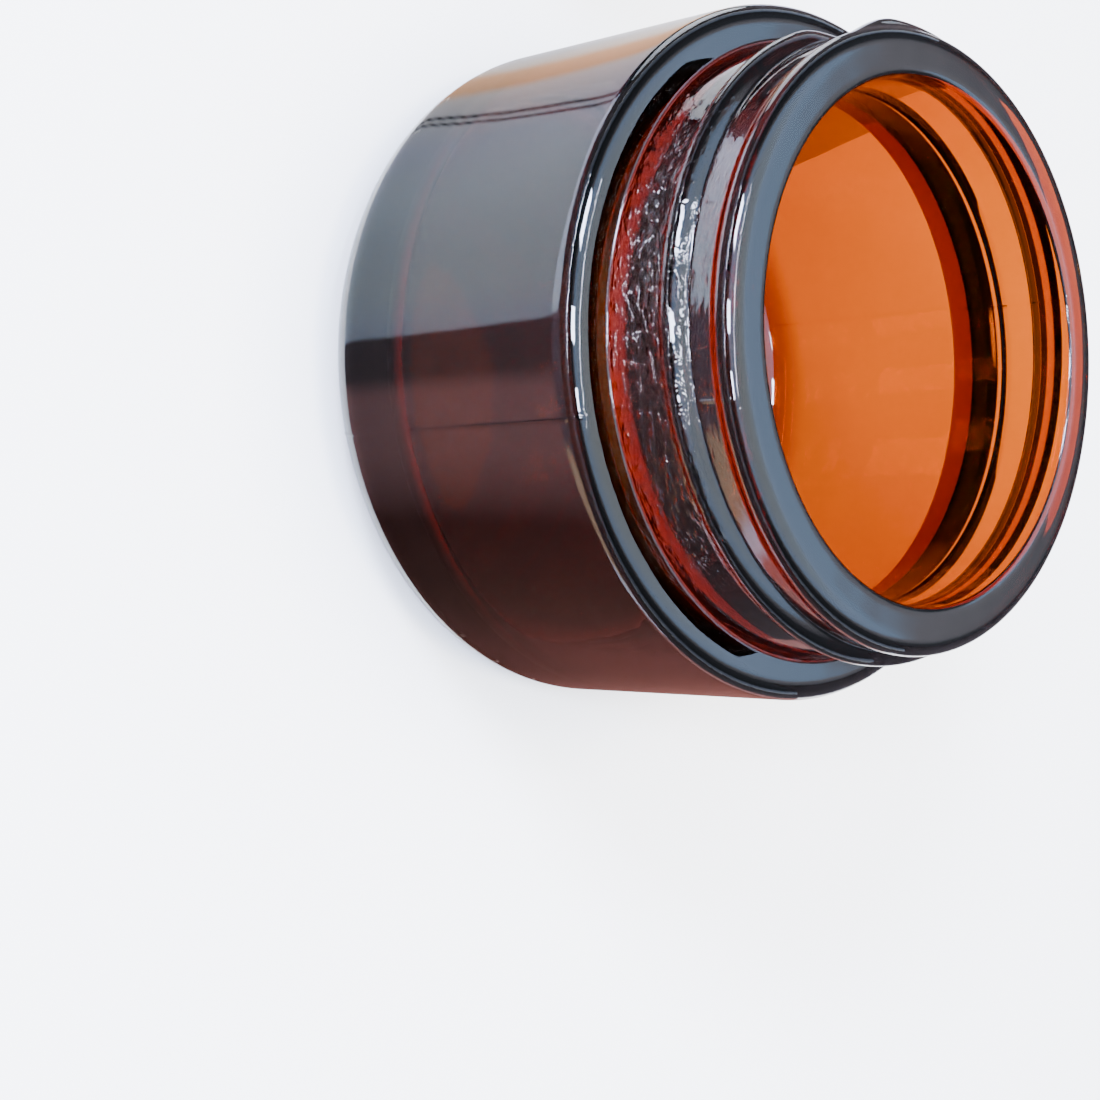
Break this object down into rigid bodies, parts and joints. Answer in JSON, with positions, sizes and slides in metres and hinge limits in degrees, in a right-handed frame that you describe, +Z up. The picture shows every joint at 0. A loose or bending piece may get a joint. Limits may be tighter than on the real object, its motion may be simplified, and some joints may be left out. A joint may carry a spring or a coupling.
{
  "type": "cosmetic cream jar",
  "caption": "Amber glass cosmetic cream jar, open, with round shoulder and screw neck; its lid lies upturned beside it, sealing disc in its mouth.",
  "frame": {"origin": "centre of the jar's base, on the surface it stands on", "axes": "+Z up the jar's axis towards the mouth; -X towards the spot beside the jar where the lid lies"},
  "size_m": [0.1349, 0.06, 0.044],
  "materials": {
    "amber_glass": "clear polished amber glass, dark brown where two walls lie behind each other",
    "lid_plastic": "satin black moulded plastic with fine grip ribs",
    "liner_foam": "white closed-cell foam",
    "disc_plastic": "white satin moulded plastic"
  },
  "bodies": {
    "jar": {"glass_jar": "amber_glass"},
    "disc": {"sealing_disc": "disc_plastic"},
    "liner": {"lid_liner": "liner_foam"},
    "lid": {"screw_lid": "lid_plastic"}
  },
  "joints": [
    {"name": "closure_flip", "type": "hinge", "parent": "jar", "child": "disc", "pos_m": [-0.038, 0, 0.03042], "axis": [0, 1, 0], "range_deg": [0, 180]},
    {"name": "cap_lower", "type": "slide", "parent": "disc", "child": "liner", "axis": [0, 0, 1], "range_m": [0, 0.01165]},
    {"name": "cap_turn", "type": "hinge", "parent": "liner", "child": "lid", "pos_m": [-0.076, 0, 0.01], "axis": [0, 0, 1], "range_deg": [0, 990]}
  ],
  "couplings": [
    {"joint": "cap_lower", "follows": "cap_turn", "m_per_rad": 0.00067376}
  ]
}
